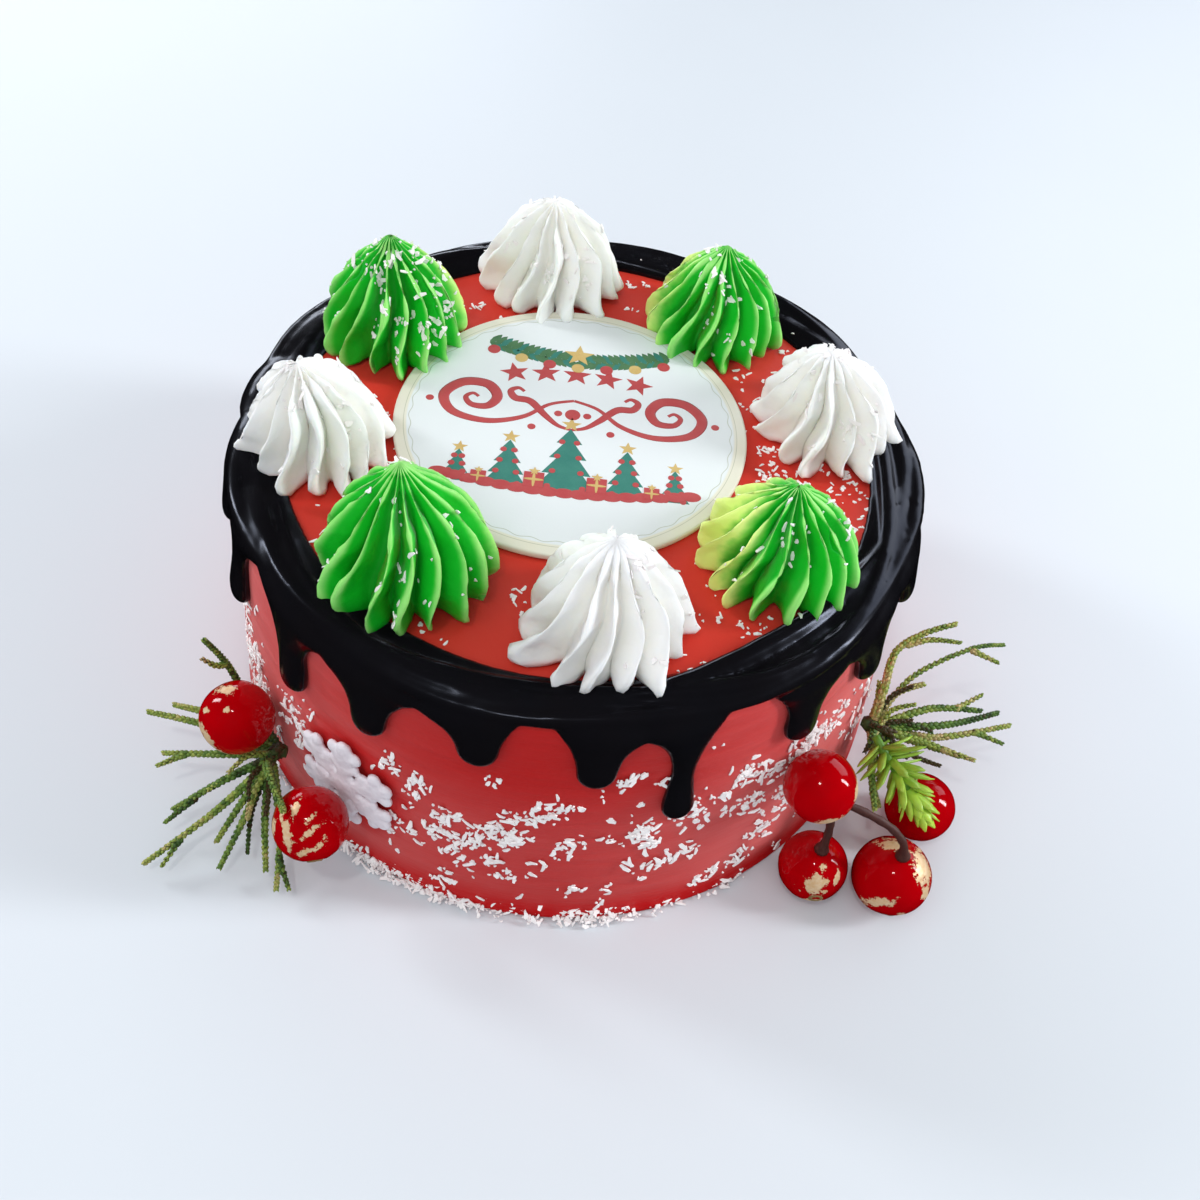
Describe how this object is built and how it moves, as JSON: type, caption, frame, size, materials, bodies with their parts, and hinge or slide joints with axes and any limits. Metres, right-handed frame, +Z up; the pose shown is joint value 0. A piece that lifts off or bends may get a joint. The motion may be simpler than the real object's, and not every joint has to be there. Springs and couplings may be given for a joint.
{
  "type": "christmas cake",
  "caption": "Round iced cake with a dark chocolate drip, star-piped cream kisses, an icing plaque, coconut flakes, an icing snowflake, berries and evergreen sprigs.",
  "frame": {"origin": "centre of the cake's round base, on the surface it rests on", "axes": "+Z up through the cake's axis; -Y is the front, where the picture looks from; +X to the right"},
  "size_m": [0.1972, 0.1636, 0.1001],
  "materials": {
    "red_icing": "smooth red icing, satin",
    "dark_chocolate": "near-black chocolate, glossy",
    "white_icing": "white sugar icing, satin",
    "white_cream": "whipped buttercream, soft satin",
    "green_cream": "green buttercream, soft satin",
    "berry_red": "glossy red skin with flecks of gold leaf",
    "brown_wire": "red-brown paper-wrapped wire",
    "evergreen": "scaly evergreen with gold glitter",
    "lime_needles": "bright green needles"
  },
  "bodies": {
    "root": {"cake_body": "red_icing", "chocolate_drip": "dark_chocolate", "icing_plaque": "white_icing", "kiss_white_1": "white_cream", "kiss_white_2": "white_cream", "kiss_white_3": "white_cream", "kiss_white_4": "white_cream", "kiss_green_1": "green_cream", "kiss_green_2": "green_cream", "kiss_green_3": "green_cream", "kiss_green_4": "green_cream", "snowflake": "white_icing", "berry_left_1": "berry_red", "berry_left_2": "berry_red", "berry_right_1": "berry_red", "berry_right_2": "berry_red", "berry_right_3": "berry_red", "berry_right_4": "berry_red", "berry_wires": "brown_wire", "sprig_left": "evergreen", "sprig_right": "evergreen", "needle_tuft": "lime_needles"}
  },
  "joints": []
}
